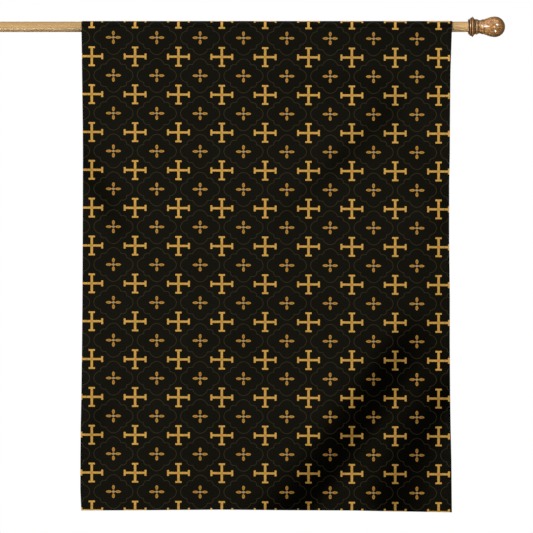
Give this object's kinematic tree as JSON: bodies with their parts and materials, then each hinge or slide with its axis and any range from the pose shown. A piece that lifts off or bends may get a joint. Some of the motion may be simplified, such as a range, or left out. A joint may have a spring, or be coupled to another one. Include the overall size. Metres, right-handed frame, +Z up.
{
  "type": "house flag on a wooden pole",
  "caption": "Tall printed cloth flag hanging by a sewn sleeve from a round wooden pole that ends in a turned knob, with soft folds in a lower corner.",
  "frame": {"origin": "centre of the pole's plain butt end, which the wall bracket takes", "axes": "+X along the pole to the finial, +Z up, the cloth hangs down along -Z with its printed front facing -Y"},
  "size_m": [1.2192, 0.0601, 0.9543],
  "materials": {
    "flag_cloth": "printed woven polyester, matte",
    "pole": "satin varnish",
    "finial": "gloss lacquer"
  },
  "bodies": {
    "root": {"flag_cloth": "flag_cloth", "pole": "pole", "finial": "finial"}
  },
  "joints": []
}
